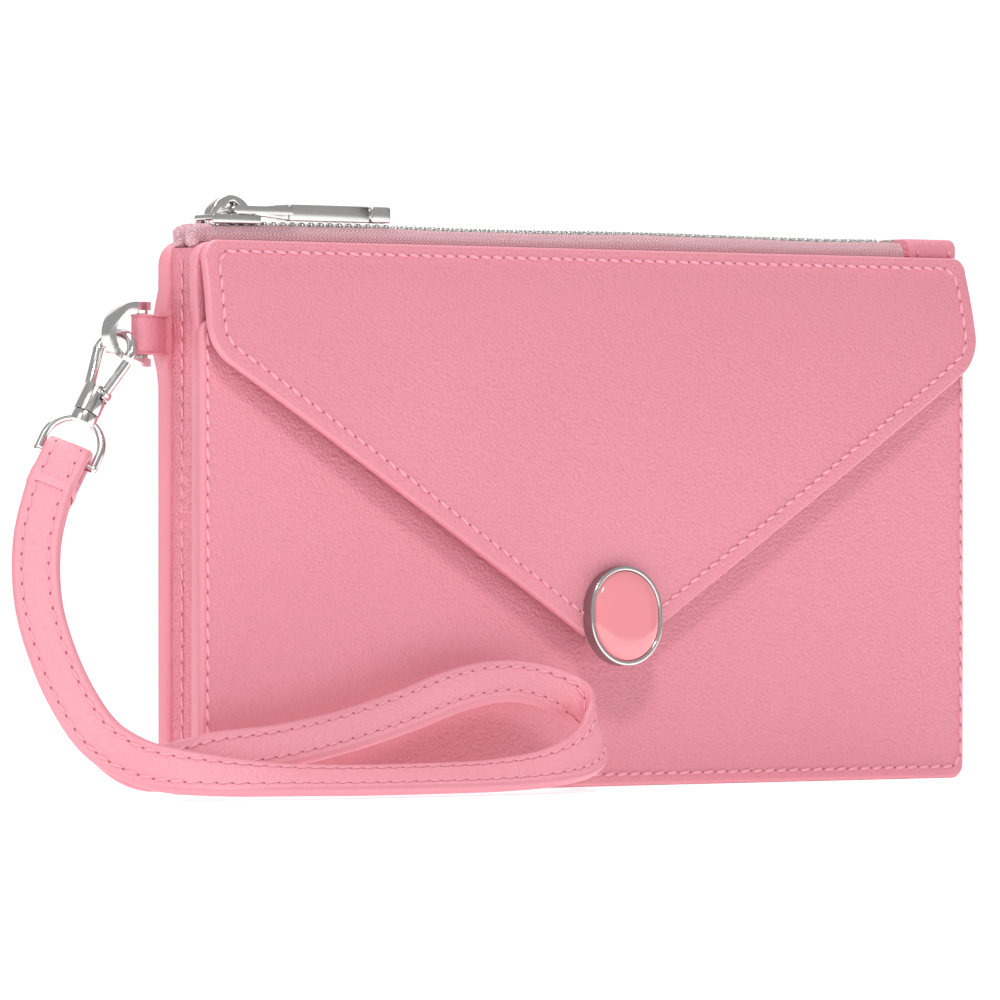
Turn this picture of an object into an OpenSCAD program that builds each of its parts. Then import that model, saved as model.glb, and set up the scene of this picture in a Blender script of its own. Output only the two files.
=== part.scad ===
// Wristlet wallet: slim leather pouch with a top zip, an envelope flap over a
// slip pocket, a side ring and a wrist strap on a swivel snap hook.
// +X runs along the width, -Y is the front, +Z is up, the origin is at the
// middle of the base.

/* [Body] */
// Width of the body
body_w = 204; // [190:1:220]
// Height of the front and back panels
body_h = 113.4; // [108:0.2:120]
// Depth from the slip pocket's front to the back
body_d = 15.5; // [15:0.1:17]
// Corner radius of the panels
corner_r = 4; // [2:0.5:6]
// Thickness of the slip pocket's panel
pocket_t = 2.2; // [1.8:0.1:2.4]
// Height of the slip pocket, as a share of the body's height
pocket_share = 0.86; // [0.8:0.01:0.87]

/* [Flap] */
// Thickness of the flap, leather and lining together
flap_t = 2.2; // [1.8:0.1:2.4]
// Height of the flap's lowest point before rounding
flap_tip_z = 27; // [22:1:32]
// Height of the two side corners of the flap
flap_elbow_z = 92; // [88:1:95]
// How far the flap stands proud of the body on each side
flap_flare = 0.5; // [0:0.5:3]
// How far the flap leans forward at its side corners
flap_lean_elbow = 4.4; // [3:0.2:5]
// How far the flap leans forward at its tip
flap_lean_tip = 8; // [7.6:0.1:9]

/* [Zip] */
// Height of the middle of the teeth
zip_z = 116.8; // [116.6:0.1:117.2]
// Pitch of the teeth on one tape
tooth_pitch = 2.4; // [2.2:0.1:3]
// Length of the zip slider
slider_l = 12; // [11:0.5:13]
// Length of the bar at the end of the zip pull
pull_l = 26; // [22:1:32]

/* [Strap] */
// Width of the wrist strap
strap_w = 9.6; // [8:0.2:9.8]
// Thickness of one layer of the wrist strap
strap_t = 2.2; // [1.8:0.1:2.2]

/* [Hidden] */

LEATHER = [0.93, 0.55, 0.62];
LEATHER_EDGE = [0.96, 0.66, 0.71];
LINING = [0.86, 0.50, 0.58];
TAPE = [0.89, 0.47, 0.57];
NICKEL = [0.80, 0.80, 0.80];
ENAMEL = [0.98, 0.50, 0.55];

// layers through the depth, from the front to the back
half_w = body_w / 2;
front_y = -body_d / 2;
back_y = body_d / 2;
panel_y = front_y + pocket_t;
panel_t = 1.8;
back_t = 2.5;
lining_t = 0.6;
tape_t = 0.5;
tape_play = 0.05;
front_tape_y = panel_y + panel_t + tape_play;
front_lining_y = front_tape_y + tape_t + tape_play;
room_front = front_lining_y + lining_t;
back_panel_y = back_y - back_t;
back_tape_y = back_panel_y - tape_play - tape_t;
back_lining_y = back_tape_y - tape_play - lining_t;
room_back = back_lining_y;
mid_y = (room_front + room_back) / 2;
pocket_h = body_h * pocket_share;
bottom_t = 1.4;
lining_top = body_h - 3;
lining_inset = 7;

// flap, with its hinge line on the outer face
hinge_z = 110.2;
flap_top_z = body_h + 0.4;
elbow_x = half_w + flap_flare;
hinge_y = panel_y - flap_t;
elbow_y = front_y - flap_lean_elbow;
tip_y = front_y - flap_lean_tip;
flap_slope = atan((elbow_y - tip_y) / (flap_elbow_z - flap_tip_z + 4));
lining_share = 0.4;
ornament_z = 36;
ornament_r = 9.5;
ornament_half = 1;
magnet_r = 7;

// zip
tooth_h = 2.4;
tooth_x = 1.05;
teeth_start = -91;
teeth_end = 86;
tape_from = -96.5;
tab_x = 88.3;
tab_end = 101.5;
tab_top = 118;
slider_x = -89.5;
slider_half_y = 3.5;
plate_t = 1.05;
plate_gap = 0.15;
bridge_half_y = 1.4;
bridge_top = 123.3;
pivot_x = slider_x + 0.2;
pivot_z = 120.3;
link_t = 1.6;
link_half_y = 3.3;
link_neck_x = pivot_x + 6.8;
bar_x = pivot_x + 14;
bar_half_y = 2.1;
bar_low = 118.3;
bar_high = 121.7;
cap_l = 5;

// side ring: its bar turns in the tab's fold, its bow points away from the body
ring_z = 94.4;
ring_bar = [-109.3, 3.2];
ring_bar_r = 1.3;
ring_play = 0.06;
ring_outer = 6.65;
ring_t = 1.7;
ring_depth = 3;
ring_bow_x = -111.55;
tab_h = 8.2;
tab_leather = 1.1;

// snap hook: its own +Z points from the swivel to the hook's crown
hook_wire = 1.15;
hook_r = 4.15;
hook_lean = 28.8;
hook_turn = 70;
hook_crown = [-114, 3.2, 94.3];
neck_z = -9.6;
collar_low = -14.4;
collar_r = 2.9;
gate_pivot = [2.2, -9.6];
gate_top = [4.2, -1.6];
joint_swell = 0.07;
gate_eye_r = 1.2;
post_r = 1.2;
loop_drop = 24.85;
loop_wire = 0.9;
loop_inner = strap_w / 2 + 0.4;
loop_turn = 28.7;

// strap: points of its middle line and the direction of its width, from below
// the hook, down to the floor, out along it, round and back
fold_r = loop_wire + 0.25 + strap_t / 2;
strap_down = [-0.55, -0.05, -0.83];
hang = [
    [-137.5, -0.5, 52, 0.75, -0.65, -0.1],
    [-139.5, -4, 40, 0.78, -0.62, 0.05],
    [-138.5, -8, 29, 0.78, -0.58, 0.2],
    [-135.5, -11.5, 19.5, 0.72, -0.52, 0.45],
    [-131, -15, 12, 0.5, -0.35, 0.75],
    [-123.5, -20.5, 7, 0.3, 0.1, 0.9]];
lying = [
    [-113, -28, 5, 0.3, 0.5, 0.7],
    [-100, -33.5, 4.1, 0.15, 0.8, 0.55],
    [-84, -36, 3.7, 0, 0.87, 0.5],
    [-66, -36.5, 3.7, 0, 0.87, 0.5],
    [-48, -36.5, 4, 0, 0.85, 0.53],
    [-33, -36, 5.4, 0, 0.75, 0.65],
    [-22, -33, 8.5, -0.2, 0.4, 0.85],
    [-17, -28.5, 13.5, -0.4, 0, 0.9],
    [-18.5, -24.5, 18.5, -0.3, 0.1, 0.9],
    [-25, -22, 21.8, 0, 0.3, 0.95],
    [-35, -21, 23, 0, 0.5, 0.85],
    [-47, -21, 21.2, 0.1, 0.55, 0.8],
    [-61, -21.3, 17, 0.1, 0.6, 0.8],
    [-77, -21.6, 13, 0.1, 0.6, 0.8],
    [-92, -21.4, 10.4, 0.1, 0.5, 0.85],
    [-106, -20.4, 9, 0.15, 0.35, 0.9]];
strap_steps = 3;

// ---------- vectors and outlines ----------

function unit(v) = v / norm(v);
function flat(v, along) = unit(v - (v * along) * along);
function place(row) = [row[0], row[1], row[2]];
function width_of(row) = [row[3], row[4], row[5]];

module rounded_rect(w, h, r)
{
    for (x = [-w / 2 + r, w / 2 - r], z = [r, h - r])
        translate([x, z]) circle(r, $fn = 48);
    translate([-w / 2 + r, 0]) square([w - 2 * r, h]);
    translate([-w / 2, r]) square([w, h - 2 * r]);
}

// stands a flat outline up as a slab, its front face at y
module slab(y, t)
{
    translate([0, y + t, 0]) rotate([90, 0, 0]) linear_extrude(t) children();
}

// a YZ outline drawn along X
module along_x(from, to)
{
    translate([from, 0, 0]) rotate([90, 0, 90]) linear_extrude(to - from) children();
}

// ---------- body ----------

module back_panel()
{
    color(LEATHER) slab(back_panel_y, back_t) rounded_rect(body_w, body_h + 0.4, corner_r);
}

module back_lining()
{
    color(LINING) slab(back_lining_y, lining_t) translate([0, bottom_t])
        rounded_rect(body_w - 2 * lining_inset, lining_top - bottom_t, 2);
}

card_w = 92;
card_t = 0.55;
card_low = 28;
module card_slot(layer, top)
{
    color(LINING) slab(room_back - (layer + 1) * card_t - layer * 0.05, card_t)
        translate([0, card_low]) rounded_rect(card_w, top - card_low, 1.5);
}

module front_panel()
{
    color(LEATHER) slab(panel_y, panel_t) rounded_rect(body_w, body_h, corner_r);
}

module front_lining()
{
    color(LINING) slab(front_lining_y, lining_t) translate([0, bottom_t])
        rounded_rect(body_w - 2 * lining_inset, lining_top - bottom_t, 2);
}

module pocket_panel()
{
    color(LEATHER) slab(front_y, pocket_t) rounded_rect(body_w, pocket_h, corner_r - 1);
}

module bottom_panel()
{
    color(LEATHER) translate([-half_w + corner_r + 4, front_tape_y, 0])
        cube([body_w - 2 * corner_r - 8, back_panel_y - front_tape_y, bottom_t]);
}

gusset_t = 1;
gusset_depth = 3;
gusset_edge = half_w - 0.6;
module gusset()
{
    fold_x = gusset_edge - gusset_depth;
    color(LEATHER) translate([0, 0, bottom_t + 0.2]) linear_extrude(body_h - bottom_t - 1.2)
        polygon([[gusset_edge, front_tape_y], [gusset_edge, front_tape_y + gusset_t],
            [fold_x, mid_y], [gusset_edge, back_panel_y - gusset_t], [gusset_edge, back_panel_y],
            [gusset_edge - gusset_t, back_panel_y], [fold_x - gusset_t, mid_y + 0.6],
            [fold_x - gusset_t, mid_y - 0.6], [gusset_edge - gusset_t, front_tape_y]]);
}

module gusset_left()
{
    difference()
    {
        mirror([1, 0, 0]) gusset();
        translate([-half_w - 1, ring_bar[1] - tab_leather - 0.02, ring_z - tab_h / 2 - 0.05])
            color(LEATHER) cube([8, 2 * tab_leather + 0.04, tab_h + 0.1]);
    }
}

module gusset_right()
{
    gusset();
}

// ---------- flap ----------

// outline of the closed flap seen from the front, as four rounded corners
module flap_outline()
{
    corner = 5;
    tip = 6;
    hull()
    {
        for (side = [-1, 1])
        {
            translate([side * (half_w - 1 - corner), flap_top_z - corner]) circle(corner, $fn = 32);
            translate([side * (elbow_x - corner), flap_elbow_z + 1]) circle(corner, $fn = 32);
        }
        translate([0, flap_tip_z + tip * 1.25]) circle(tip, $fn = 32);
    }
}

// depth of the flap from its outer face (0) to its lining's face (1)
function flap_face(share) = let (t = share * flap_t) [
    [hinge_y + t, hinge_z - 0.1],
    [hinge_y - 0.5 + t, hinge_z - 5],
    [elbow_y + t, flap_elbow_z],
    [tip_y + t, flap_tip_z - 4]];
function backwards(list) = [for (i = [len(list) - 1:-1:0]) list[i]];

module flap_layer(outer, inner)
{
    intersection()
    {
        along_x(-elbow_x - 1, elbow_x + 1)
            polygon(concat(flap_face(outer), backwards(flap_face(inner))));
        slab(-40, 40) flap_outline();
    }
}

module flap_top_band()
{
    color(LEATHER) intersection()
    {
        translate([-half_w, hinge_y, hinge_z + 0.1]) cube([body_w, flap_t, flap_top_z - hinge_z]);
        slab(-40, 40) flap_outline();
    }
}

module flap_panel()
{
    color(LEATHER) flap_layer(0, 1 - lining_share);
}

module flap_lining()
{
    color(LINING) flap_layer(1 - lining_share, 1);
}

// puts a thing on the flap's outer face at a height, its own +Z pointing forward
module on_flap(z, out)
{
    face_y = elbow_y + (tip_y - elbow_y) * (flap_elbow_z - z) / (flap_elbow_z - flap_tip_z + 4);
    translate([0, face_y, z]) rotate([90 - flap_slope, 0, 0]) translate([0, 0, out]) children();
}

module oval(r, half)
{
    for (z = [-half, half]) translate([0, z]) circle(r, $fn = 64);
    translate([-r, -half]) square([2 * r, 2 * half]);
}

module magnet_pocket()
{
    color(NICKEL) translate([0, front_y, ornament_z]) rotate([90, 0, 0])
        cylinder(h = 2.5, r = magnet_r, $fn = 64);
}

module magnet_flap()
{
    color(NICKEL) on_flap(ornament_z, -flap_t - 2) cylinder(h = 2, r = magnet_r, $fn = 64);
}

module ornament_backplate()
{
    color(NICKEL) on_flap(ornament_z, 0) linear_extrude(0.8) oval(ornament_r - 0.4, ornament_half);
}

module ornament_bezel()
{
    color(NICKEL) on_flap(ornament_z, 0.8) difference()
    {
        linear_extrude(2.6) oval(ornament_r, ornament_half);
        translate([0, 0, 0.8]) linear_extrude(2.6) oval(ornament_r - 1, ornament_half);
    }
}

module ornament_enamel()
{
    color(ENAMEL) on_flap(ornament_z, 1.6)
    {
        linear_extrude(1.9) oval(ornament_r - 1.01, ornament_half);
        translate([0, 0, 1.9]) linear_extrude(0.5) oval(ornament_r - 2.4, ornament_half);
    }
}

// ---------- zip ----------

// side 1 is the back tape, side -1 the front one
module zip_tape(side)
{
    leg = side > 0 ? back_tape_y - mid_y : mid_y - front_tape_y - tape_t;
    shoulder = zip_z - 0.9;
    color(TAPE) translate([0, mid_y, 0]) mirror([0, side > 0 ? 0 : 1, 0])
        along_x(tape_from, tab_x - 0.1)
            polygon([[leg, 100], [leg + tape_t, 100], [leg + tape_t, shoulder],
                [leg + tape_t - 0.7, zip_z + tape_t / 2], [1.75, zip_z + tape_t / 2],
                [1.75, zip_z - tape_t / 2], [leg - 0.25, zip_z - tape_t / 2], [leg, shoulder - 0.4]]);
}

module zip_teeth(side)
{
    count = floor((teeth_end - teeth_start) / tooth_pitch);
    offset_x = side > 0 ? tooth_pitch / 2 : 0;
    color(NICKEL) for (i = [0:count - 1])
        translate([teeth_start + offset_x + i * tooth_pitch, mid_y, zip_z])
            mirror([0, side > 0 ? 0 : 1, 0])
            {
                translate([-tooth_x / 2, 0.95, -tooth_h / 2]) cube([tooth_x, 0.75, tooth_h]);
                translate([-tooth_x / 2, -0.9, -tooth_h / 2 + 0.3])
                    cube([tooth_x, 1.9, tooth_h - 0.6]);
            }
}

module zip_end_tab()
{
    color(LEATHER) along_x(tab_x, tab_end)
        polygon([[panel_y + 0.3, body_h + 0.5], [panel_y + 0.3, body_h + 2],
            [mid_y - 2.6, tab_top], [mid_y + 2.6, tab_top], [back_y - 0.7, body_h + 2],
            [back_y - 0.7, body_h + 0.5]]);
}

module zip_end_stops()
{
    color(NICKEL) for (side = [-1, 1])
        translate([teeth_end + 0.2, mid_y + side * 1.2 - 0.5, zip_z - 1]) cube([1.6, 1, 2]);
}

module zip_slider()
{
    top = zip_z + tooth_h / 2 + plate_gap;
    bottom = zip_z - tooth_h / 2 - plate_gap - plate_t;
    color(NICKEL) translate([slider_x, mid_y, 0])
    {
        for (z = [bottom, top])
        {
            translate([-slider_l / 2, -slider_half_y, z])
                cube([slider_l, 2 * slider_half_y, plate_t]);
            translate([slider_l / 2, 0, z]) cylinder(h = plate_t, r = 2, $fn = 32);
        }
        for (side = [-1, 1])
        {
            edge_y = side > 0 ? slider_half_y - 0.75 : -slider_half_y;
            translate([-slider_l / 2, edge_y, top - 0.7]) cube([slider_l, 0.75, 0.7]);
            translate([-slider_l / 2, edge_y, bottom + plate_t]) cube([slider_l, 0.75, 0.6]);
        }
        translate([-slider_l / 2 + 1.7, 0, bottom]) cylinder(h = top - bottom, r = 1.2, $fn = 32);
    }
}

module zip_bridge()
{
    base = zip_z + tooth_h / 2 + plate_gap + plate_t;
    color(NICKEL) slab(mid_y - bridge_half_y, 2 * bridge_half_y) translate([slider_x, base])
        difference()
        {
            intersection()
            {
                translate([0, -1.2]) circle(bridge_top - base + 1.2, $fn = 64);
                translate([-slider_l / 2 + 0.3, 0]) square([slider_l - 0.8, 10]);
            }
            translate([-2.6, -0.1]) square([5.6, 0.9 + 0.1]);
            translate([0.2, 0.9]) circle(1.75, $fn = 48);
        }
}

module pull_link()
{
    arm_l = link_neck_x - pivot_x;
    color(NICKEL) translate([pivot_x, mid_y, pivot_z])
    {
        rotate([90, 0, 0]) cylinder(h = 2 * link_half_y, r = 0.8, center = true, $fn = 32);
        for (side = [-1, 1])
            translate([0, side > 0 ? link_half_y - 1.2 : -link_half_y, -link_t / 2])
                cube([arm_l + 0.1, 1.2, link_t]);
        translate([arm_l, -link_half_y, -link_t / 2])
            cube([bar_x - link_neck_x, 2 * link_half_y, link_t]);
    }
}

module pull_bar()
{
    color(NICKEL) translate([bar_x, mid_y - bar_half_y, bar_low])
        cube([pull_l - cap_l - 0.6, 2 * bar_half_y, bar_high - bar_low]);
    color(NICKEL) translate([bar_x, mid_y - bar_half_y + 0.8, bar_low + 0.6])
        cube([pull_l - cap_l, 2 * bar_half_y - 1.6, bar_high - bar_low - 1.2]);
}

module pull_end_cap()
{
    color(NICKEL) translate([bar_x + pull_l - cap_l, mid_y - bar_half_y, bar_low])
        cube([cap_l, 2 * bar_half_y, bar_high - bar_low]);
}

// ---------- side ring ----------

module ring_tab()
{
    fold_r = ring_bar_r + ring_play + tab_leather;
    color(LEATHER) translate([ring_bar[0], ring_bar[1], ring_z - tab_h / 2]) difference()
    {
        union()
        {
            cylinder(h = tab_h, r = fold_r, $fn = 48);
            linear_extrude(tab_h) polygon([[0, -fold_r], [4, -tab_leather], [12, -tab_leather],
                [12, tab_leather], [4, tab_leather], [0, fold_r]]);
        }
        translate([0, 0, -1]) cylinder(h = tab_h + 2, r = ring_bar_r + ring_play, $fn = 48);
    }
}

module d_ring()
{
    arm = ring_bar[0] + ring_bar_r - ring_bow_x;
    inner = ring_outer - ring_t;
    color(NICKEL)
    {
        slab(ring_bar[1] - ring_depth / 2, ring_depth) translate([ring_bow_x, ring_z]) difference()
        {
            union()
            {
                circle(ring_outer, $fn = 96);
                translate([0, -ring_outer]) square([arm, 2 * ring_outer]);
            }
            circle(inner, $fn = 96);
            translate([0, -inner]) square([20, 2 * inner]);
            translate([arm, -20]) square([20, 40]);
        }
        translate([ring_bar[0], ring_bar[1], ring_z - inner - 0.2])
            cylinder(h = 2 * inner + 0.4, r = ring_bar_r, $fn = 48);
    }
}

// ---------- snap hook ----------

// local frame of the hook: origin at the middle of the eye's round end
module on_hook()
{
    translate(hook_crown) rotate([0, hook_lean, 0]) rotate([0, 0, -hook_turn])
        translate([0, 0, -hook_r]) children();
}

// round rod between two points of the hook's XZ plane
module rod(a, b, r)
{
    run = b - a;
    translate([a[0], 0, a[1]]) rotate([0, atan2(run[0], run[1]), 0])
        cylinder(h = norm(run), r = r, $fn = 32);
}

module clasp_hook()
{
    color(NICKEL) on_hook() difference()
    {
        union()
        {
            rotate([90, 0, 0]) rotate_extrude(angle = 180, $fn = 96) translate([hook_r, 0])
                circle(hook_wire, $fn = 32);
            translate([-hook_r, 0, 0]) sphere(hook_wire + joint_swell, $fn = 48);
            rod([-hook_r, 0], [-2, neck_z], hook_wire);
            rod([hook_r, 0], [hook_r, -0.7], hook_wire);
            translate([0, 0, collar_low]) cylinder(h = neck_z - collar_low + 1.1, r = collar_r, $fn = 64);
        }
        translate([0.9, -1.3, neck_z - 1.6]) cube([4, 2.6, 4]);
        translate([0, 0, collar_low - 1]) cylinder(h = 2, r = post_r + 0.06, $fn = 48);
        translate([0, 0, collar_low + 0.9]) cylinder(h = 1.7, r = 2, $fn = 48);
        translate([gate_pivot[0], 0, gate_pivot[1]]) rotate([90, 0, 0])
            cylinder(h = 8, r = 0.4, center = true, $fn = 32);
    }
}

module clasp_gate()
{
    color(NICKEL) on_hook() difference()
    {
        union()
        {
            rod([gate_pivot[0], gate_pivot[1]], gate_top, 1.05);
            translate([gate_pivot[0], 0, gate_pivot[1]]) rotate([90, 0, 0])
                cylinder(h = 2.1, r = gate_eye_r, center = true, $fn = 48);
        }
        translate([gate_pivot[0], 0, gate_pivot[1]]) rotate([90, 0, 0])
            cylinder(h = 8, r = 0.44, center = true, $fn = 32);
    }
}

module gate_pin()
{
    color(NICKEL) on_hook() translate([gate_pivot[0], 0, gate_pivot[1]]) rotate([90, 0, 0])
        cylinder(h = 3.4, r = 0.4, center = true, $fn = 32);
}

module gate_spring()
{
    color(NICKEL) on_hook() translate([gate_pivot[0], -0.5, neck_z - 1.55])
        cube([0.7, 1, 0.3]);
}

module swivel_post()
{
    color(NICKEL) on_hook()
    {
        translate([0, 0, collar_low - 0.2]) cylinder(h = 1.5, r = post_r, $fn = 48);
        translate([0, 0, collar_low + 1]) cylinder(h = 1, r = 1.9, $fn = 48);
    }
}

// the loop's own X is along the bar that carries the strap
module on_loop()
{
    on_hook() rotate([0, 0, loop_turn]) children();
}

module swivel_loop()
{
    side = loop_inner + loop_wire;
    bar_z = -loop_drop;
    color(NICKEL) on_loop()
    {
        translate([0, 0, collar_low - 2.4]) cylinder(h = 2.2, r = collar_r - 0.1, $fn = 64);
        translate([0, 0, bar_z + 3]) rotate([90, 0, 0]) rotate_extrude(angle = 180, $fn = 96)
            translate([side, 0]) circle(loop_wire, $fn = 32);
        for (x = [-side, side]) rod([x, bar_z], [x, bar_z + 3], loop_wire);
        rod([-side, bar_z], [side, bar_z], loop_wire);
        for (x = [-side, side]) translate([x, 0, bar_z]) sphere(loop_wire + joint_swell, $fn = 48);
    }
}

// ---------- strap ----------

// rotation of a direction out of the hook's frame
function lean_out(v) = [
    v[0] * cos(hook_lean) + v[2] * sin(hook_lean), v[1], -v[0] * sin(hook_lean) + v[2] * cos(hook_lean)];
function turn_out(v, a) = [v[0] * cos(a) + v[1] * sin(a), -v[0] * sin(a) + v[1] * cos(a), v[2]];
hook_axis = lean_out([0, 0, 1]);
bar_dir = lean_out(turn_out([1, 0, 0], hook_turn - loop_turn));
bar_mid = hook_crown - (loop_drop + hook_r) * hook_axis;
down = flat(strap_down, bar_dir);
forward = cross(down, bar_dir);

function at_fold(angle, drop) = concat(
    bar_mid + fold_r * (cos(angle) * forward - sin(angle) * down) + drop * down, bar_dir);
fold = concat([at_fold(180, 11), at_fold(180, 7), at_fold(180, 3)],
    [for (a = [180:-30:0]) at_fold(a, 0)], [at_fold(0, 4), at_fold(0, 8)]);

// the returning layer lies behind the front one, a strap's thickness away
front_run = concat([at_fold(0, 2.2), at_fold(0, 8)], hang);
function tangent_at(list, i) = unit(place(list[min(i + 1, len(list) - 1)]) - place(list[max(i - 1, 0)]));
function behind(list, i) = let (t = tangent_at(list, i), w = flat(width_of(list[i]), t))
    concat(place(list[i]) + (strap_t + 0.1) * cross(w, t), width_of(list[i]));
returning = [for (i = [len(front_run) - 1:-1:1]) behind(front_run, i)];
last_row = concat(place(returning[len(returning) - 1]) - 4 * down, bar_dir);

route = concat(fold, hang, lying, returning, [last_row]);

// Catmull-Rom curve through the rows of a list
function between(a, b, c, d, s) = 0.5 * ((2 * b) + (c - a) * s + (2 * a - 5 * b + 4 * c - d) * s * s
    + (3 * b - a - 3 * c + d) * s * s * s);
function smooth(list, steps) = let (n = len(list)) concat(
    [for (i = [0:n - 2], k = [0:steps - 1])
        between(list[max(i - 1, 0)], list[i], list[i + 1], list[min(i + 2, n - 1)], k / steps)],
    [list[n - 1]]);

// section of the strap: a flat bar with its corners taken off
bevel = 0.5;
section = let (w = strap_w / 2, t = strap_t / 2, b = bevel) [
    [w - b, t], [w, t - b], [w, b - t], [w - b, -t], [b - w, -t], [-w, b - t], [-w, t - b], [b - w, t]];

module ribbon(list, steps)
{
    rows = smooth(list, steps);
    n = len(rows);
    k = len(section);
    points = [for (i = [0:n - 1])
        let (t = tangent_at(rows, i), w = flat(width_of(rows[i]), t), u = cross(w, t))
        for (p = section) place(rows[i]) + p[0] * w + p[1] * u];
    sides = [for (i = [0:n - 2], j = [0:k - 1])
        [i * k + j, i * k + (j + 1) % k, (i + 1) * k + (j + 1) % k, (i + 1) * k + j]];
    caps = [[for (j = [k - 1:-1:0]) j], [for (j = [0:k - 1]) (n - 1) * k + j]];
    polyhedron(points, concat(sides, caps), convexity = 10);
}

module wrist_strap()
{
    color(LEATHER) ribbon(route, strap_steps);
}

module strap_bar_tack()
{
    half = 1.5 * strap_t + 0.15 + 0.02;
    for (side = [-1, 1])
        color(LEATHER_EDGE) multmatrix([
            [bar_dir[0], forward[0], -down[0], bar_mid[0]],
            [bar_dir[1], forward[1], -down[1], bar_mid[1]],
            [bar_dir[2], forward[2], -down[2], bar_mid[2]],
            [0, 0, 0, 1]])
            translate([side * strap_w / 2 + (side > 0 ? 0.2 : -0.6), -half, -7.2])
                cube([0.4, 2 * half, 1.4]);
}

back_panel();
back_lining();
card_slot(0, 98);  // card_slot_top
card_slot(1, 90);  // card_slot_middle
card_slot(2, 82);  // card_slot_bottom
front_panel();
front_lining();
pocket_panel();
bottom_panel();
gusset_left();
gusset_right();
flap_top_band();
flap_panel();
flap_lining();
magnet_pocket();
magnet_flap();
ornament_backplate();
ornament_bezel();
ornament_enamel();
zip_tape(-1);  // zip_tape_front
zip_tape(1);  // zip_tape_back
zip_teeth(-1);  // zip_teeth_front
zip_teeth(1);  // zip_teeth_back
zip_end_tab();
zip_end_stops();
zip_slider();
zip_bridge();
pull_link();
pull_bar();
pull_end_cap();
ring_tab();
d_ring();
clasp_hook();
clasp_gate();
gate_pin();
gate_spring();
swivel_post();
swivel_loop();
wrist_strap();
strap_bar_tack();
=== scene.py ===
"""Looks of a slim leather wristlet wallet: envelope flap over a slip pocket, top zip,
enamel snap ornament, side ring, swivel snap hook and a stitched wrist strap."""
import math
import random
import bmesh
import bpy
import numpy as np
from mathutils import Matrix, Vector


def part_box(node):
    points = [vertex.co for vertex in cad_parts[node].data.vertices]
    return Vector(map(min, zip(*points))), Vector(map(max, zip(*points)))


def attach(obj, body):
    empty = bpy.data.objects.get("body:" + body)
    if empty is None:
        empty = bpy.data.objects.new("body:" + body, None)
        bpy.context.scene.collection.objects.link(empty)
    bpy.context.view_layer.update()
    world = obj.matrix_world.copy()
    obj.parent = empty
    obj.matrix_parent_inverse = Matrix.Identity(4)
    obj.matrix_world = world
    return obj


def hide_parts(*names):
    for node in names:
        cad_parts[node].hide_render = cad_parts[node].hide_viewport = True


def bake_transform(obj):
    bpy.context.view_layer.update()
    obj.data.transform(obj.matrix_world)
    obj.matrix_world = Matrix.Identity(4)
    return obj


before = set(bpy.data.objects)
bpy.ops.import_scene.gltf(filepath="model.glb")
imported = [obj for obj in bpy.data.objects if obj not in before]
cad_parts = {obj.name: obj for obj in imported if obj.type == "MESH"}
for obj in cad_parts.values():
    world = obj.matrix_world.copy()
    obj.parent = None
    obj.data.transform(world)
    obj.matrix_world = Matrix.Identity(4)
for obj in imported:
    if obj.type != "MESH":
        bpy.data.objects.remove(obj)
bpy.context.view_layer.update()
mm = 0.001

# ---------- camera, light and floor ----------
# A long lens at the wallet's own mid height, off its left front corner, in a white room
# with a large soft lamp high in front, and dark cards that only the metal mirrors.

view_turn = math.radians(-37.5)
view_side = Vector((math.cos(view_turn), math.sin(view_turn), 0))
view_back = Vector((math.sin(view_turn), -math.cos(view_turn), 0))
eye_level = Vector((0, 0, 56 * mm))
camera_place = eye_level + view_back * 1.7
camera_aim = eye_level - view_side * 15.9 * mm + Vector((0, 0, 4.7 * mm))
camera = bpy.data.objects.new("camera", bpy.data.cameras.new("camera"))
bpy.context.scene.collection.objects.link(camera)
camera.data.lens = 288
camera.data.sensor_width = 36
camera.location = camera_place
camera.rotation_euler = (camera_aim - camera_place).to_track_quat("-Z", "Y").to_euler()
bpy.context.scene.camera = camera
bpy.context.scene.view_settings.view_transform = "Standard"


def soft_lamp(name, place, size, power, tint=(1, 1, 1)):
    """A large soft box aimed at the middle of the wallet."""
    lamp = bpy.data.objects.new(name, bpy.data.lights.new(name, "AREA"))
    bpy.context.scene.collection.objects.link(lamp)
    lamp.data.shape = "RECTANGLE"
    lamp.data.size, lamp.data.size_y = size
    lamp.data.energy = power
    lamp.data.color = tint
    lamp.location = place
    lamp.rotation_euler = (eye_level - Vector(place)).to_track_quat("-Z", "Y").to_euler()
    return lamp


soft_lamp("key_lamp", (-0.55, -1.0, 1.2), (0.25, 0.25), 9)
soft_lamp("side_lamp", (-1.2, -0.45, 0.9), (0.6, 0.6), 2)
soft_lamp("top_lamp", (-0.1, 0.3, 1.2), (1.0, 0.5), 11)

world = bpy.data.worlds.new("white_room")
bpy.context.scene.world = world
world.use_nodes = True
world.node_tree.nodes["Background"].inputs["Color"].default_value = (1, 1, 1, 1)
world.node_tree.nodes["Background"].inputs["Strength"].default_value = 0.38

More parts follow.
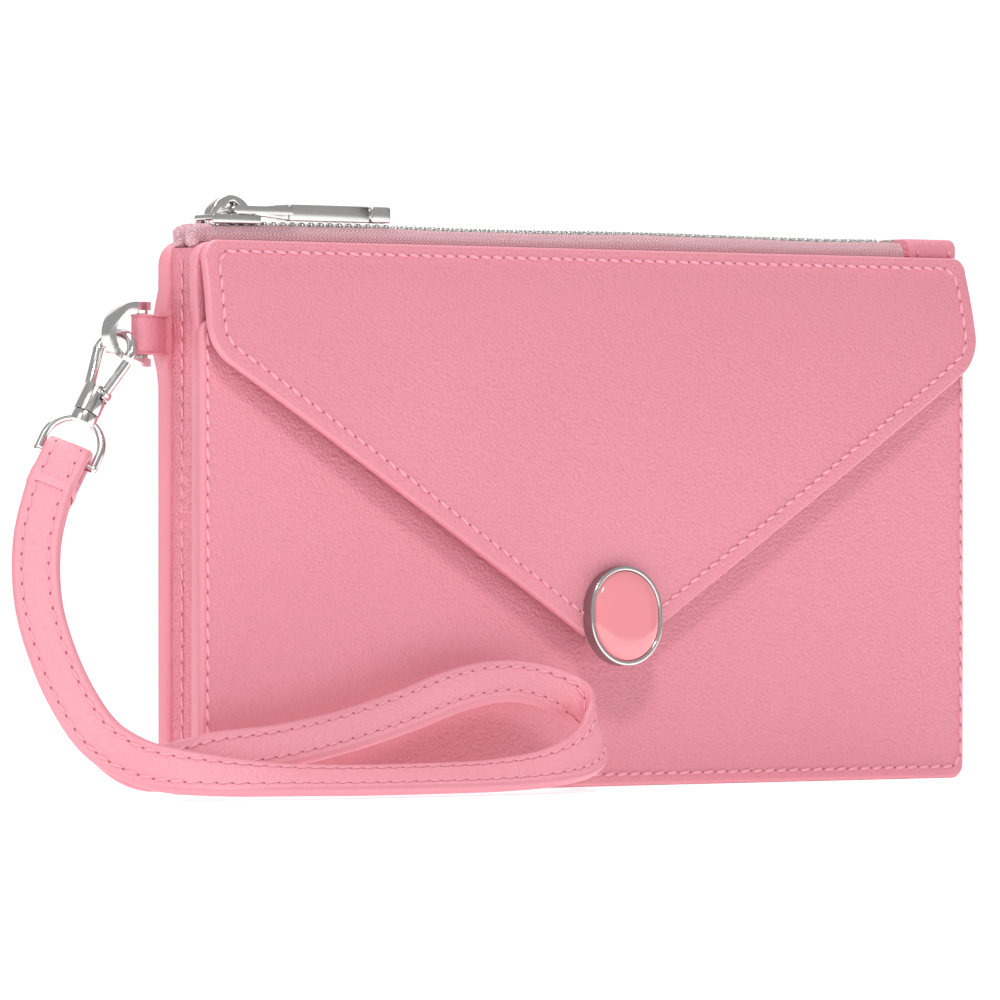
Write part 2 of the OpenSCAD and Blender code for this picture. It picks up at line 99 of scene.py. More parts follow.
bpy.ops.object.select_all(action="DESELECT")
bpy.ops.mesh.primitive_plane_add(size=6, location=(0, 0, 0), rotation=(0, 0, view_turn))
floor = bpy.context.object
floor.name = "floor"
bpy.ops.object.mode_set(mode="EDIT")
bpy.ops.mesh.select_mode(type="EDGE")
bpy.ops.mesh.select_all(action="DESELECT")
floor_form = bmesh.from_edit_mesh(floor.data)
for edge in floor_form.edges:
    edge.select_set(all(vert.co.y > 2.9 for vert in edge.verts))
bmesh.update_edit_mesh(floor.data)
bpy.ops.mesh.extrude_region_move(TRANSFORM_OT_translate={"value": (0, 0, 3)})
bpy.ops.mesh.select_all(action="DESELECT")
floor_form = bmesh.from_edit_mesh(floor.data)
for edge in floor_form.edges:
    edge.select_set(all(vert.co.y > 2.9 and vert.co.z < 0.1 for vert in edge.verts))
bmesh.update_edit_mesh(floor.data)
bpy.ops.mesh.bevel(offset=1.2, segments=12)
bpy.ops.object.mode_set(mode="OBJECT")
bpy.ops.object.shade_smooth()
floor_paint = bpy.data.materials.new("pale_floor")
floor_paint.use_nodes = True
floor_surface = floor_paint.node_tree.nodes["Principled BSDF"]
floor_surface.inputs["Base Color"].default_value = (0.93, 0.93, 0.93, 1)
floor_surface.inputs["Roughness"].default_value = 0.7
floor_surface.inputs["Emission Color"].default_value = (1, 1, 1, 1)
floor_surface.inputs["Emission Strength"].default_value = 0.55
floor.data.materials.append(floor_paint)

for card_name, card_turn, card_height, card_size, card_grey in (
    ("grey_card", -37, 0.5, (1.5, 1.1), 0.55),
    ("dark_card_left", -95, 0.3, (0.2, 0.9), 0.02),
    ("dark_card_near_left", -62, 0.3, (0.1, 0.9), 0.02),
    ("dark_card_front", 0, 0.25, (0.16, 0.9), 0.02),
    ("dark_card_right", 60, 0.3, (0.4, 0.9), 0.02),
    ("dark_card_back", 140, 0.3, (0.4, 0.9), 0.02),
    ("dark_card_above", -60, 1.6, (0.25, 0.5), 0.02),
    ("dark_card_low", -37, 0.02, (1.2, 0.12), 0.02),
):
    bpy.ops.object.select_all(action="DESELECT")
    around = math.radians(card_turn)
    reach = 2.3 if card_name == "grey_card" else 1.25
    card_place = Vector((math.sin(around) * reach, -math.cos(around) * reach, card_height))
    turn = (eye_level - card_place).to_track_quat("Z", "Y").to_euler()
    bpy.ops.mesh.primitive_plane_add(size=1, location=card_place, rotation=turn)
    card = bpy.context.object
    card.name = card_name
    card.scale = (card_size[0], card_size[1], 1)
    card_paint = bpy.data.materials.new(card_name + "_paint")
    card_paint.use_nodes = True
    card_paint.node_tree.nodes["Principled BSDF"].inputs["Base Color"].default_value = (
        card_grey, card_grey, card_grey, 1)
    card.data.materials.append(card_paint)
    card.visible_camera = False
    card.visible_diffuse = False
    card.visible_shadow = False

# ---------- slip pocket ----------
# The front pocket is a doubled panel of smooth nappa with turned, painted edges, lock
# stitched to the body down both sides and along the bottom; its mouth stays open.


class Wire:
    """A shader socket; sums on it add Math nodes, and node() adds any other node."""

    def __init__(self, tree, socket=None):
        self.tree = tree
        self.socket = socket

    def node(self, kind, settings=None, out=0, **sockets):
        made = self.tree.nodes.new("ShaderNode" + kind)
        for key, value in (settings or {}).items():
            setattr(made, key, value)
        for key, value in sockets.items():
            name = int(key[1:]) if key[1:].isdigit() else key.replace("_", " ")
            if isinstance(value, Wire):
                self.tree.links.new(value.socket, made.inputs[name])
            else:
                made.inputs[name].default_value = value
        return Wire(self.tree, made.outputs[out])

    def maths(self, operation, *values):
        inputs = {"i" + str(place): value for place, value in enumerate(values)}
        return self.node("Math", {"operation": operation}, **inputs)

    def __add__(self, other):
        return self.maths("ADD", self, other)

    def __sub__(self, other):
        return self.maths("SUBTRACT", self, other)

    def __rsub__(self, other):
        return self.maths("SUBTRACT", other, self)

    def __mul__(self, other):
        return self.maths("MULTIPLY", self, other)

    __radd__ = __add__
    __rmul__ = __mul__

    def __truediv__(self, other):
        return self.maths("DIVIDE", self, other)

    def __pow__(self, other):
        return self.maths("POWER", self, other)


def finish_named(name, roughness, metallic=0.0):
    """A new material with its shader ready for wires."""
    material = bpy.data.materials.new(name)
    material.use_nodes = True
    surface = material.node_tree.nodes["Principled BSDF"]
    surface.inputs["Roughness"].default_value = roughness
    surface.inputs["Metallic"].default_value = metallic
    return material, surface, Wire(material.node_tree)


def feed(surface, wires):
    """Joins each wire to the shader's socket of that name."""
    for name, wire in wires.items():
        wire.tree.links.new(wire.socket, surface.inputs[name])


def blend_colours(wire, amount, first, second):
    """A colour between two, by an amount from 0 to 1."""
    return wire.node("Mix", {"data_type": "RGBA"}, out=2, i0=amount, i6=first, i7=second)


def leather_finish(name, colour, deep, grain=0.00024, polish=0.5):
    """Drum dyed nappa: fine pebbles, finer pores, slow random changes of colour, painted shade in the
    grain's hollows and a soft sheen.
    """
    material, surface, wire = finish_named(name, polish)
    place = wire.node("TexCoord", out=3)
    crease = wire.node("TexNoise", Vector=wire.node("Mapping", Vector=place, Scale=(1, 1, 1.7)),
                       Scale=900.0, Detail=2.0, Roughness=0.55, Distortion=0.5)
    pebble = wire.node("TexVoronoi", {"feature": "SMOOTH_F1"}, Vector=place, Scale=1500.0,
                       Smoothness=0.5, Randomness=1.0)
    pore = wire.node("TexNoise", Vector=place, Scale=3000.0, Detail=3.0)
    cloud = wire.node("TexNoise", Vector=place, Scale=26.0, Detail=3.0)
    height = (1 - pebble) * 0.9 + pore * 0.15 + crease * 0.45
    # colour: random changes from the cloud, plus painted shade that darkens the low ground between pebbles
    # and in the creases
    tone_and_hollow_shade = cloud * 0.4 + pebble * 0.45 + (1 - crease) * 0.2 - 0.2
    feed(surface, {
        "Base Color": blend_colours(wire, tone_and_hollow_shade, colour, deep),
        "Roughness": polish + (pore - 0.5) * 0.16 + pebble * 0.08,
        "Normal": wire.node("Bump", Strength=0.9, Distance=grain, Height=height),
    })
    return material


PINK = (0.735, 0.275, 0.335, 1)
PINK_DEEP = (0.66, 0.213, 0.275, 1)
PINK_EDGE = (0.72, 0.275, 0.335, 1)
nappa = leather_finish("nappa_pink", PINK, PINK_DEEP)


def edge_finish(name, colour):
    """Edge paint: brushed on in coats, smooth, a little paler and glossier than the leather."""
    material, surface, wire = finish_named(name, 0.36)
    place = wire.node("TexCoord", out=3)
    ripple = wire.node("TexNoise", Vector=place, Scale=260.0, Detail=2.0)
    speck = wire.node("TexNoise", Vector=place, Scale=1800.0, Detail=2.0)
    feed(surface, {
        "Base Color": blend_colours(wire, ripple * 0.5, colour, PINK),
        "Roughness": 0.3 + ripple * 0.14,
        "Normal": wire.node("Bump", Strength=0.5, Distance=0.00006, Height=ripple + speck * 0.25),
    })
    return material


# the strap gets a lighter copy of the body's pink leather: painted light, for the light from above on its
# upward-facing runs
strap_nappa_painted_light = leather_finish(
    "nappa_strap_painted_light", (0.82, 0.335, 0.395, 1), (0.745, 0.27, 0.33, 1), grain=0.0002)
edge_paint = edge_finish("edge_paint", PINK_EDGE)


def pick(piece, kind, test):
    """Selects only the edges or faces of the piece in edit mode that pass a test."""
    bpy.ops.mesh.select_mode(type={"edges": "EDGE", "faces": "FACE"}[kind])
    bpy.ops.mesh.select_all(action="DESELECT")
    form = bmesh.from_edit_mesh(piece.data)
    for item in getattr(form, kind):
        if test(item):
            item.select_set(True)
    bmesh.update_edit_mesh(piece.data)


def start_block(name, low, high):
    """A cube primitive brought to a box, with its place in its mesh, left in edit mode."""
    bpy.ops.object.select_all(action="DESELECT")
    low, high = Vector(low), Vector(high)
    bpy.ops.mesh.primitive_cube_add(size=1, location=(low + high) / 2)
    piece = bpy.context.object
    piece.name = name
    piece.scale = high - low
    bpy.ops.object.transform_apply(location=True, rotation=True, scale=True)
    bpy.ops.object.mode_set(mode="EDIT")
    return piece


def runs_along(edge, axis):
    """True for an edge parallel to an axis."""
    run = edge.verts[1].co - edge.verts[0].co
    return abs(run[axis]) > 0.98 * run.length


def cut_strips(axis, low, high, count):
    """Cuts the piece in edit mode into even strips, so that it can be shaped."""
    normal = [0, 0, 0]
    normal[axis] = 1
    for step in range(1, count):
        spot = [0, 0, 0]
        spot[axis] = low + (high - low) * step / count
        bpy.ops.mesh.select_all(action="SELECT")
        bpy.ops.mesh.bisect(plane_co=spot, plane_no=normal)


def paint_edges(piece, face_finish, rim_finish, flat=0.93):
    """Gives the broad faces one finish and the turned edges another."""
    piece.data.materials.clear()
    piece.data.materials.append(face_finish)
    piece.data.materials.append(rim_finish)
    for face in piece.data.polygons:
        face.material_index = 0 if abs(face.normal.y) > flat else 1


def smooth_piece(piece, angle=40):
    """Smooth shading, with corners sharper than the angle kept."""
    bpy.ops.object.select_all(action="DESELECT")
    piece.select_set(True)
    bpy.context.view_layer.objects.active = piece
    bpy.ops.object.shade_smooth_by_angle(angle=math.radians(angle))


def leather_panel(name, node, corner, rim, shape, strips=(34, 20), grow=(0, 0, 0)):
    """A slab of leather in the CAD node's box: round corners, rolled edges, then a shape
    given as a shift of each point."""
    low, high = (Vector(v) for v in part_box(node))
    low, high = low - Vector(grow), high + Vector(grow)
    piece = start_block(name, low, high)
    pick(piece, "edges", lambda edge: runs_along(edge, 1))
    bpy.ops.mesh.bevel(offset=corner, segments=6)
    pick(piece, "edges", lambda edge: not runs_along(edge, 1))
    bpy.ops.mesh.bevel(offset=rim, segments=4)
    cut_strips(0, low.x, high.x, strips[0])
    cut_strips(2, low.z, high.z, strips[1])
    bpy.ops.object.mode_set(mode="OBJECT")
    paint_edges(piece, nappa, edge_paint)
    for vert in piece.data.vertices:
        vert.co += shape(vert.co)
    smooth_piece(piece, 50)
    return piece


pocket_low, pocket_high = (Vector(v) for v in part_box("pocket_panel"))
half_width = pocket_high.x


def hump(value, low, high):
    """0 at both ends of a span and 1 in its middle."""
    share = min(max((value - low) / (high - low), 0), 1)
    return math.sin(math.pi * share)


def pocket_swell(x, z):
    """How far the pocket's face stands forward, fullest above the middle."""
    across = hump(x, -half_width, half_width) ** 0.7
    up = hump(z, pocket_low.z - 4 * mm, pocket_high.z + 34 * mm) ** 1.2
    return 1.5 * mm * across * up


panel_low, panel_high = (Vector(v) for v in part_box("front_panel"))
band_back = panel_high.y + 0.85 * mm
pocket = leather_panel(
    "pocket_leather", "pocket_panel", 3 * mm, 1.3 * mm,
    lambda spot: Vector((0, -pocket_swell(spot.x, spot.z), 0)) if spot.y < pocket_high.y - 0.2 * mm
    else Vector((0, band_back - pocket_high.y, 0)))
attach(pocket, "body")
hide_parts("pocket_panel")

thread, thread_surface, thread_wire = finish_named("sewing_thread", 0.55)
thread_place = thread_wire.node("TexCoord", out=3)
ply = thread_wire.node("TexNoise", Vector=thread_place, Scale=2600.0, Detail=2.0)
feed(thread_surface, {
    "Base Color": blend_colours(thread_wire, ply, (0.88, 0.40, 0.48, 1), (0.78, 0.32, 0.40, 1)),
    "Roughness": ply * 0.2 + 0.42,
    "Normal": thread_wire.node("Bump", Strength=0.8, Distance=0.00006, Height=ply),
})
# the needle holes are flat dark shapes on the leather: painted shade for the shadow inside each hole
needle_hole_painted_shade, hole_surface, hole_wire = finish_named("needle_hole_painted_shade", 0.9)
hole_place = hole_wire.node("TexCoord", out=3)
hole_shade = hole_wire.node("TexNoise", Vector=hole_place, Scale=900.0)
feed(hole_surface, {
    "Base Color": blend_colours(
        hole_wire, hole_shade, (0.48, 0.12, 0.17, 1), (0.34, 0.07, 0.11, 1)),
})

# one stitch: a short length of thread that dives into the leather at both ends
bpy.ops.object.select_all(action="DESELECT")
bpy.ops.mesh.primitive_uv_sphere_add(segments=8, ring_count=6, radius=0.5)
stitch = bpy.context.object
stitch_points = np.array([vert.co for vert in stitch.data.vertices])
stitch_faces = [tuple(face.vertices) for face in stitch.data.polygons]
bpy.data.objects.remove(stitch)
stitch_points[:, 2] = np.sign(stitch_points[:, 2]) * np.abs(stitch_points[:, 2] * 2) ** 1.5 / 2
luck = random.Random(7)
hole_long, hole_wide, hole_deep = 0.72, 0.46, 0.12


def even_points(path, pitch):
    """Points a stitch apart along a polyline."""
    path = np.array(path)
    steps = np.linalg.norm(np.diff(path, axis=0), axis=1)
    length = np.concatenate([[0], np.cumsum(steps)])
    count = max(int(round(length[-1] / pitch)), 1)
    marks = np.linspace(0, length[-1], count + 1)
    return np.stack([np.interp(marks, length, path[:, k]) for k in range(3)], axis=1)


def sew(name, paths, outward, pitch, body, thick=0.84 * mm, slant=0.16):
    """Lock stitch along paths on a surface, with a dark mark between stitches as painted shade in the
    needle hole. outward is a direction, or a function of place that gives it."""
    points, faces, marks = [], [], []
    for path in paths:
        spots = even_points(path, pitch)
        for first, second in zip(spots[:-1], spots[1:]):
            run = second - first
            normal = np.array(outward(first) if callable(outward) else outward, float)
            side = np.cross(normal, run)
            side /= np.linalg.norm(side)
            normal = np.cross(run, side)
            normal /= np.linalg.norm(normal)
            lean = run + side * np.linalg.norm(run) * (slant + luck.uniform(-0.03, 0.03))
            centre = (first + second) / 2 + normal * 0.12 * mm
            width = thick * luck.uniform(0.92, 1.06)
            shaped = (stitch_points[:, 2:3] * lean * 0.84 + stitch_points[:, 0:1] * side * width
                      + stitch_points[:, 1:2] * normal * thick * 0.8)
            base = len(points)
            points.extend(centre + shaped)
            faces.extend(tuple(base + k for k in face) for face in stitch_faces)
            marks.extend([0] * len(stitch_faces))
            # then a flat dark shape at the stitch's start: painted shade for its needle hole
            ahead = run / np.linalg.norm(run)
            base = len(points)
            hole = (stitch_points[:, 2:3] * ahead * hole_long
                    + stitch_points[:, 0:1] * side * hole_wide
                    + stitch_points[:, 1:2] * normal * hole_deep)
            points.extend(first + hole * mm)
            faces.extend(tuple(base + k for k in face) for face in stitch_faces)
            marks.extend([1] * len(stitch_faces))
    mesh = bpy.data.meshes.new(name)
    mesh.from_pydata([tuple(point) for point in points], [], faces)
    mesh.materials.append(thread)
    mesh.materials.append(needle_hole_painted_shade)
    mesh.polygons.foreach_set("material_index", marks)
    mesh.update()
    piece = bpy.data.objects.new(name, mesh)
    bpy.context.scene.collection.objects.link(piece)
    smooth_piece(piece, 60)
    if body:
        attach(piece, body)
    return piece


def seam_line(corners, radius, place):
    """A line of straight runs with rounded turns through corners given across and up, laid
    on a surface by a function."""
    flat = [Vector(corners[0])]
    for before, corner, after in zip(corners, corners[1:], corners[2:]):
        before, corner, after = Vector(before), Vector(corner), Vector(after)
        enter = corner + (before - corner).normalized() * radius
        leave = corner + (after - corner).normalized() * radius
        for step in range(9):
            share = step / 8
            flat.append(enter * (1 - share) ** 2 + corner * 2 * share * (1 - share)
                        + leave * share ** 2)
    flat.append(Vector(corners[-1]))
    dense = [flat[0]]
    for first, second in zip(flat[:-1], flat[1:]):
        pieces = max(int((second - first).length / (2 * mm)), 1)
        dense.extend(first.lerp(second, step / pieces) for step in range(1, pieces + 1))
    return [tuple(place(spot.x, spot.y)) for spot in dense]


def on_pocket(x, z):
    """A point on the pocket's front face."""
    return x, pocket_low.y - pocket_swell(x, z), z


side_inset, foot_inset = 1.5 * mm, 2.6 * mm
pocket_seam = seam_line(
    [(-half_width + side_inset, pocket_high.z - 2.5 * mm),
     (-half_width + side_inset, foot_inset),
     (half_width - side_inset, foot_inset),
     (half_width - side_inset, pocket_high.z - 2.5 * mm)], 2.5 * mm, on_pocket)
sew("pocket_stitches", [pocket_seam], (0, -1, 0), 3.35 * mm, "body")

# ---------- body panels ----------
# Front and back are two stiffened leather panels, edge painted; the back one is lined with
# foam and is thicker, so its edge rolls over in a soft round.


def tuck_in(spot):
    """Below the pocket's mouth the front panel lies inside the pocket's rolled edge."""
    near_rim = half_width - abs(spot.x) < 7 * mm
    deeper = band_back - 0.1 * mm - panel_high.y if near_rim and spot.y > panel_high.y - mm else 0
    if spot.z > pocket_high.z - mm:
        return Vector((0, deeper, 0))
    return Vector((-math.copysign(0.6 * mm, spot.x), deeper, 0.6 * mm if spot.z < 5 * mm else 0))


front = leather_panel(
    "front_leather", "front_panel", 4 * mm, 0.75 * mm, tuck_in, grow=(0, 0.1 * mm, 0))
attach(front, "body")
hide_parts("front_panel")

back_low, back_high = (Vector(v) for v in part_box("back_panel"))


def back_swell(x, z):
    """The back panel bows out a little where the lining bag lies behind it."""
    return 0.9 * mm * (hump(x, -half_width, half_width) * hump(z, 0, back_high.z)) ** 0.8




def back_shape(spot):
    """The back's bow, a fuller rim, and the swelling at the left where the ring tab enters."""
    rim_swell = 1.0 * mm
    near_tab = spot.x < 3 * mm - half_width
    tab_swell = 1.5 * mm * math.exp(-((spot.z - 94.4 * mm) / (7 * mm)) ** 4) if near_tab else 0
    if spot.y > back_low.y + mm:
        return Vector((-tab_swell, back_swell(spot.x, spot.z) + rim_swell, 0))
    return Vector((-tab_swell, -0.35 * mm, 0))


back = leather_panel(
    "back_leather", "back_panel", 5 * mm, 1.5 * mm, back_shape,
    strips=(34, 34), grow=(0, 0.1 * mm, 0))
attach(back, "body")
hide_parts("back_panel")
inset = 3 * mm
back_loop = [
    (0, back_high.z - inset), (half_width - inset, back_high.z - inset),
    (half_width - inset, foot_inset), (-half_width + inset, foot_inset),
    (-half_width + inset, back_high.z - inset), (0, back_high.z - inset)]
back_seam = seam_line(
    back_loop, 4 * mm, lambda x, z: (x, back_high.y + 1.1 * mm + back_swell(x, z), z))
sew("back_stitches", [back_seam], (0, 1, 0), 3.35 * mm, "body")

bottom = leather_panel(
    "bottom_leather", "bottom_panel", 0.5 * mm, 0.25 * mm,
    lambda spot: Vector((0, 0, 0)), strips=(4, 1))
bottom.data.materials.clear()
bottom.data.materials.append(nappa)
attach(bottom, "body")
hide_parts("bottom_panel")

# ---------- side gussets ----------
# A narrow strip of thinner leather closes each side between the panels; it is gathered
# as it is sewn, so it lies in fine cross wrinkles with a line of stitches down it.

gusset_leather = leather_finish(
    "gusset_nappa", (0.76, 0.265, 0.325, 1), (0.67, 0.20, 0.26, 1), grain=0.0006)
gusset_profile = ((-3.2, 1.3), (-2.7, 1.0), (-1.8, 0.75), (-0.6, 0.7), (0.2, 0.95), (1.0, 0.75),
                  (2.4, 0.95), (3.8, 1.1), (4.9, 1.4))


def strip_mesh(name, rows, material):
    """A closed skin over rows of points, each row a ring of the same length."""
    count, ring = len(rows), len(rows[0])
    points = [tuple(point) for row in rows for point in row]
    faces = [(i * ring + j, i * ring + (j + 1) % ring, (i + 1) * ring + (j + 1) % ring,
              (i + 1) * ring + j) for i in range(count - 1) for j in range(ring)]
    faces.append(tuple(reversed(range(ring))))
    faces.append(tuple((count - 1) * ring + j for j in range(ring)))
    mesh = bpy.data.meshes.new(name)
    mesh.from_pydata(points, [], faces)
    mesh.materials.append(material)
    piece = bpy.data.objects.new(name, mesh)
    bpy.context.scene.collection.objects.link(piece)
    bpy.ops.object.select_all(action="DESELECT")
    piece.select_set(True)
    bpy.context.view_layer.objects.active = piece
    bpy.ops.object.mode_set(mode="EDIT")
    bpy.ops.mesh.select_all(action="SELECT")
    bpy.ops.mesh.normals_make_consistent(inside=False)
    bpy.ops.object.mode_set(mode="OBJECT")
    smooth_piece(piece, 60)
    return piece


for side, gusset_name in ((-1, "gusset_left"), (1, "gusset_right")):
    gusset_rows = []
    rows_up = 190
    for step in range(rows_up + 1):
        z = (1.6 + (112.2 - 1.6) * step / rows_up) * mm
        ring = []
        for y, deep in gusset_profile:
            crease = 0.13 * math.sin(z * 2900 + y * 0.9 + 2 * math.sin(z * 310)) * math.sin(z * 1130 + y)
            fold = 0.22 * math.sin(z * 95 + y * 0.5 + side)
            sunk = (deep + (crease + fold) * hump(y, -3.4, 5.1)) * mm
            ring.append((side * (half_width - sunk), y * mm, z))
        ring += [(side * (half_width - 3 * mm), y * mm, z) for y, _ in reversed(gusset_profile)]
        gusset_rows.append(ring)
    gusset = strip_mesh(gusset_name + "_leather", gusset_rows, gusset_leather)
    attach(gusset, "body")
    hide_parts(gusset_name)
    line = [(side * (half_width - 0.8 * mm), 0.0002, z * mm) for z in range(4, 111, 2)]
    sew(gusset_name + "_stitches", [line], (side, 0, 0), 3.35 * mm, "body", thick=0.5 * mm)

# ---------- flap ----------
# The envelope flap is one piece of the same nappa on a thin lining. Its top is sewn to the
# front panel; below that line it bends open. Edges are painted and a seam follows them.

band_low, band_high = (Vector(v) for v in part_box("flap_top_band"))
flap_half = half_width + 0.5 * mm
flap_top = band_high.z
elbow_height = 91.3 * mm
tip_height = 26.7 * mm
bend_height = band_low.z


def flap_trim(x, z):
    """The left side is cut a little narrower towards the top."""
    share = min(max((z - elbow_height) / (flap_top - elbow_height), 0), 1)
    return 1.5 * mm * share * min(max((-x - 80 * mm) / (20 * mm), 0), 1)


def flap_lean(z):
    """How far the closed flap stands forward of the front at a height."""
    below = max(bend_height - z, 0)
    return 7.7 * mm * (1 - math.exp(-below / (22 * mm)))


flap = start_block(
    "flap_leather", (-flap_half, band_low.y, tip_height - 2 * mm),
    (flap_half, band_high.y, flap_top))
for side in (-1, 1):
    bpy.ops.mesh.select_all(action="SELECT")
    bpy.ops.mesh.bisect(
        plane_co=(0, 0, tip_height), plane_no=(side * (elbow_height - tip_height), 0, -flap_half),
        use_fill=True, clear_outer=True)
for height, radius in ((flap_top, 3.5 * mm), (elbow_height, 5.5 * mm), (tip_height, 7 * mm)):
    pick(flap, "edges", lambda edge: runs_along(edge, 1) and abs(edge.verts[0].co.z - height) < mm)
    bpy.ops.mesh.bevel(offset=radius, segments=8)
pick(flap, "edges", lambda edge: not runs_along(edge, 1))
bpy.ops.mesh.bevel(offset=0.85 * mm, segments=4)
cut_strips(0, -flap_half, flap_half, 40)
cut_strips(2, tip_height, flap_top, 34)
bpy.ops.object.mode_set(mode="OBJECT")
paint_edges(flap, nappa, edge_paint)
for vert in flap.data.vertices:
    ease = hump(vert.co.x, -flap_half, flap_half)
    vert.co.x += flap_trim(vert.co.x, vert.co.z)
    vert.co.y -= flap_lean(vert.co.z) + 0.35 * mm * ease * hump(vert.co.z, 40 * mm, bend_height)
smooth_piece(flap, 50)
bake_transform(flap)
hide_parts("flap_top_band", "flap_panel", "flap_lining")


def on_flap(x, z):
    """A point on the flap's outer face."""
    ease = hump(x, -flap_half, flap_half)
    swell = 0.35 * mm * ease * hump(z, 40 * mm, bend_height)
    return x + flap_trim(x, z), band_low.y - flap_lean(z) - swell, z


seam_in = 3.5 * mm
fall = Vector((flap_half, elbow_height - tip_height)).normalized()
corner_drop = seam_in / fall.x
seam_tip = tip_height + corner_drop
seam_elbow = seam_tip + (flap_half - seam_in) * fall.y / fall.x
flap_seam = seam_line(
    [(0, flap_top - 2.3 * mm), (flap_half - seam_in, flap_top - 2.3 * mm),
     (flap_half - seam_in, seam_elbow), (0, seam_tip), (-flap_half + seam_in, seam_elbow),
     (-flap_half + seam_in, flap_top - 2.3 * mm), (0, flap_top - 2.3 * mm)], 3 * mm, on_flap)
flap_stitches = sew("flap_stitches", [flap_seam], (0, -1, 0), 3.1 * mm, None, slant=-0.14)
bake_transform(flap_stitches)

# ---------- snap ornament and magnets ----------
# A nickel plated zinc cup holds a domed cabochon of pink enamel. Its plate clamps the flap
# to one half of a magnetic snap; the other half is riveted to the pocket.

nickel, nickel_surface, nickel_wire = finish_named("polished_nickel", 0.12, 1.0)
nickel_place = nickel_wire.node("TexCoord", out=3)
cloudy = nickel_wire.node("TexNoise", Vector=nickel_place, Scale=160.0, Detail=3.0)
rubbed = nickel_wire.node("TexNoise", Vector=nickel_place, Scale=1500.0, Detail=3.0)
feed(nickel_surface, {
    "Base Color": blend_colours(nickel_wire, cloudy, (0.84, 0.83, 0.81, 1), (0.74, 0.73, 0.72, 1)),
    "Roughness": 0.08 + cloudy * 0.1 + rubbed * 0.06,
    "Normal": nickel_wire.node(
        "Bump", Strength=0.25, Distance=0.00002, Height=rubbed + cloudy * 0.5),
})

enamel, enamel_surface, enamel_wire = finish_named("pink_enamel", 0.07)
enamel_surface.inputs["Coat Weight"].default_value = 0.7
enamel_surface.inputs["Coat Roughness"].default_value = 0.03
enamel_place = enamel_wire.node("TexCoord", out=3)
enamel_cloud = enamel_wire.node("TexNoise", Vector=enamel_place, Scale=90.0, Detail=2.0)
feed(enamel_surface, {
    "Base Color": blend_colours(
        enamel_wire, enamel_cloud, (0.80, 0.285, 0.315, 1), (0.76, 0.245, 0.28, 1)),
    "Roughness": 0.05 + enamel_cloud * 0.06,
})

# a darker copy of the nickel for the cup's side wall: painted shade, for the dark reflections that the wall
# shows
dark_side_nickel, dark_side_nickel_surface, dark_side_nickel_wire = finish_named("nickel_painted_dark_sides", 0.36, 1.0)
dark_side_nickel_place = dark_side_nickel_wire.node("TexCoord", out=3)
dark_side_nickel_cloud = dark_side_nickel_wire.node("TexNoise", Vector=dark_side_nickel_place, Scale=420.0, Detail=2.0)
feed(dark_side_nickel_surface, {
    "Base Color": blend_colours(
        dark_side_nickel_wire, dark_side_nickel_cloud, (0.42, 0.38, 0.38, 1), (0.34, 0.31, 0.31, 1)),
    "Roughness": dark_side_nickel_cloud * 0.1 + 0.3,
})

bezel_low, bezel_high = (Vector(v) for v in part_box("ornament_bezel"))
ornament_centre = (bezel_low + bezel_high) / 2
ornament_tilt = math.atan(3.6 / 69)
oval_half = 1 * mm


def oval_piece(name, radius, back, front, material):
    """An oval disc standing on the flap between two distances from its face, in edit mode."""
    bpy.ops.object.select_all(action="DESELECT")
    bpy.ops.mesh.primitive_cylinder_add(vertices=96, radius=radius, depth=front - back,
                                        location=(0, 0, (front + back) / 2))
    piece = bpy.context.object
    piece.name = name
    bpy.ops.object.transform_apply(location=True)
    for vert in piece.data.vertices:
        vert.co.y += oval_half if vert.co.y > 0 else -oval_half
    piece.data.materials.append(material)
    bpy.ops.object.mode_set(mode="EDIT")
    return piece


def stand_on_flap(piece):
    """Turns a finished ornament part from lying flat to standing on the flap's face."""
    bpy.ops.object.mode_set(mode="OBJECT")
    seat = Vector((0, bezel_high.y + 0.2 * mm, ornament_centre.z))
    move = Matrix.Translation(seat) @ Matrix.Rotation(math.pi / 2 - ornament_tilt, 4, "X")
    piece.data.transform(move)
    smooth_piece(piece, 35)
    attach(piece, "flap")


bezel = oval_piece("ornament_cup", 9.5 * mm, 0.0, 3.1 * mm, nickel)
# the cup's side wall takes the darker nickel: painted shade
bezel.data.materials.append(dark_side_nickel)
pick(bezel, "faces", lambda face: abs(face.normal.z) < 0.3)
bezel.active_material_index = 1
bpy.ops.object.material_slot_assign()
pick(bezel, "faces", lambda face: face.normal.z > 0.9)
bpy.ops.mesh.inset(thickness=0.95 * mm)
bpy.ops.mesh.extrude_region_move(TRANSFORM_OT_translate={"value": (0, 0, -1.6 * mm)})
pick(bezel, "edges", lambda edge: edge.calc_face_angle(0) > 1.2)
bpy.ops.mesh.bevel(offset=0.28 * mm, segments=4)
stand_on_flap(bezel)
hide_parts("ornament_bezel")

plate = oval_piece("ornament_plate", 9.2 * mm, -0.9 * mm, 0.05 * mm, nickel)
pick(plate, "edges", lambda edge: edge.calc_face_angle(0) > 1.2)
bpy.ops.mesh.bevel(offset=0.2 * mm, segments=3)
stand_on_flap(plate)
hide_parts("ornament_backplate")

dome = oval_piece("ornament_enamel_dome", 8.5 * mm, 1.4 * mm, 2.7 * mm, enamel)
dome_steps = ((0.25, 0.42), (0.4, 0.36), (0.6, 0.28), (0.9, 0.2), (1.3, 0.14), (1.8, 0.08),
              (1.8, 0.02))
for inward, rise in dome_steps:
    pick(dome, "faces", lambda face: len(face.verts) > 20 and face.normal.z > 0.9)
    bpy.ops.mesh.inset(thickness=inward * mm)
    bpy.ops.transform.translate(value=(0, 0, rise * mm))
stand_on_flap(dome)
smooth_piece(dome, 70)
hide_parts("ornament_enamel")

